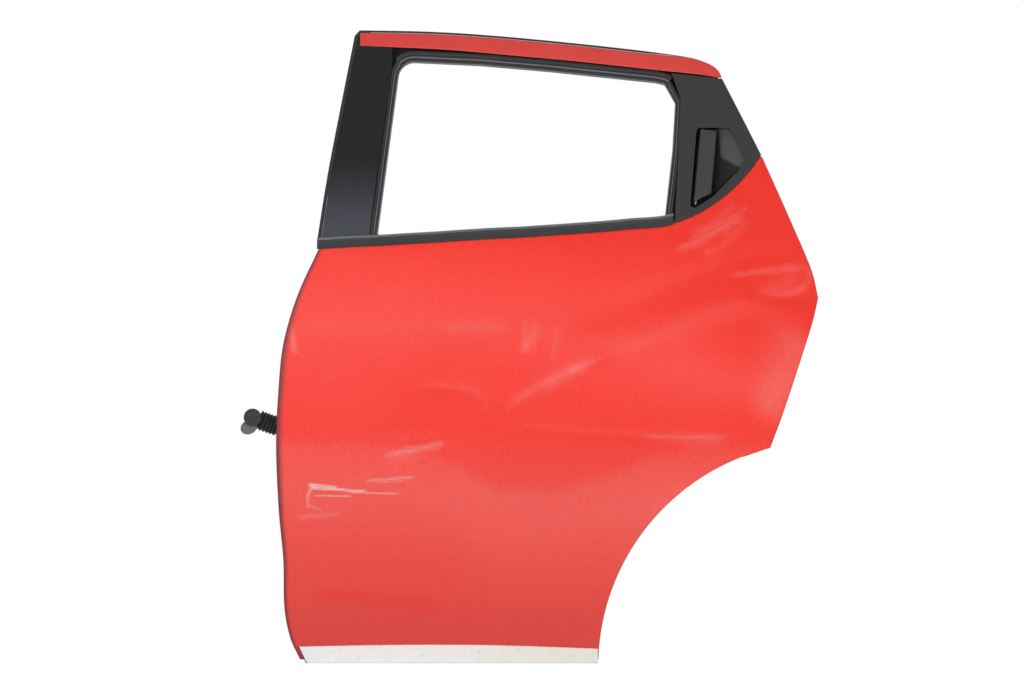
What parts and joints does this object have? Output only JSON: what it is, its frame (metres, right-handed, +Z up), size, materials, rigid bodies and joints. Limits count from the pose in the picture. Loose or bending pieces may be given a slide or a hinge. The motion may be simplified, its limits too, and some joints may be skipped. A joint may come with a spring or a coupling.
{
  "type": "car door shell",
  "caption": "Rear left car door shell with window frame, hinges, check strap, latch and a hidden paddle handle.",
  "frame": {"origin": "centre of the upper hinge's pad face on the body pillar", "axes": "+X towards the rear of the car, +Y towards the cabin, +Z up"},
  "size_m": [1.0425, 0.2443, 1.1392],
  "materials": {
    "black_plastic": "moulded black",
    "black_rubber": "matt black",
    "dark_steel": "bare dark steel",
    "gloss_black": "smooth gloss black",
    "plated_steel": "zinc plated",
    "red_paint": "gloss red paint on steel, scratched",
    "textured_black": "grained dark grey",
    "white_plastic": "off-white, soiled"
  },
  "bodies": {
    "pillar_side": {"upper_hinge_pillar_leaf": "plated_steel", "lower_hinge_pillar_leaf": "plated_steel", "upper_hinge_pin": "dark_steel", "lower_hinge_pin": "dark_steel", "check_strap_bracket": "plated_steel", "check_strap_pin": "dark_steel"},
    "door": {"beam_bracket_front": "dark_steel", "beam_bracket_rear": "dark_steel", "belt_reinforcement": "dark_steel", "cable_clip_1": "black_plastic", "cable_clip_2": "black_plastic", "check_box": "black_plastic", "check_box_screw_1": "plated_steel", "check_box_screw_2": "plated_steel", "door_weatherstrip": "black_rubber", "glass_run_seal": "black_rubber", "handle_bowl": "textured_black", "handle_pin": "plated_steel", "handle_spring": "plated_steel", "inner_belt_seal": "black_rubber", "inner_panel": "red_paint", "intrusion_beam": "dark_steel", "latch_case": "black_plastic", "latch_face_plate": "plated_steel", "latch_fork_rivet": "plated_steel", "latch_pawl_rivet": "plated_steel", "latch_screw_1": "plated_steel", "latch_screw_2": "plated_steel", "latch_screw_3": "plated_steel", "lower_hinge_bolt_1": "plated_steel", "lower_hinge_bolt_2": "plated_steel", "lower_hinge_door_leaf": "plated_steel", "lower_hinge_reinforcement": "plated_steel", "outer_belt_moulding": "textured_black", "outer_skin": "red_paint", "panel_plug_1": "black_rubber", "panel_plug_2": "black_rubber", "pillar_cover": "gloss_black", "pillar_seal": "black_rubber", "quarter_cover": "textured_black", "release_cable": "black_plastic", "roof_rail": "red_paint", "roof_seal": "black_rubber", "sill_moulding": "white_plastic", "upper_hinge_bolt_1": "plated_steel", "upper_hinge_bolt_2": "plated_steel", "upper_hinge_door_leaf": "plated_steel", "upper_hinge_reinforcement": "plated_steel", "wiring_boot": "black_rubber", "wiring_connector": "black_plastic"},
    "strap": {"check_strap": "dark_steel"},
    "handle": {"handle_paddle": "textured_black"},
    "fork": {"latch_fork": "dark_steel"},
    "pawl": {"latch_pawl": "dark_steel"}
  },
  "joints": [
    {"name": "door_swing", "type": "hinge", "parent": "pillar_side", "child": "door", "pos_m": [0.011, -0.036, 0], "axis": [0, 0, -1], "range_deg": [0, 62]},
    {"name": "check_strap_swing", "type": "hinge", "parent": "pillar_side", "child": "strap", "pos_m": [0.009, 0.014, -0.30008], "axis": [0, 0, -1], "range_deg": [0, 39]},
    {"name": "handle_pull", "type": "hinge", "parent": "door", "child": "handle", "pos_m": [0.73105, 0.00308, 0.29155], "axis": [-0.0876, -0.3344, -0.9383], "range_deg": [0, 26], "stiffness_Nm_per_rad": 0.6},
    {"name": "latch_fork_turn", "type": "hinge", "parent": "door", "child": "fork", "pos_m": [0.87032, -0.02373, -0.10341], "axis": [0.9503, 0, -0.3113], "range_deg": [0, 55], "stiffness_Nm_per_rad": 0.3},
    {"name": "latch_pawl_turn", "type": "hinge", "parent": "door", "child": "pawl", "pos_m": [0.88526, -0.03373, -0.05779], "axis": [-0.9503, 0, 0.3113], "range_deg": [0, 14]}
  ],
  "couplings": [
    {"joint": "check_strap_swing", "follows": "door_swing", "ratio": 0.609},
    {"joint": "latch_pawl_turn", "follows": "handle_pull", "ratio": 0.5}
  ]
}
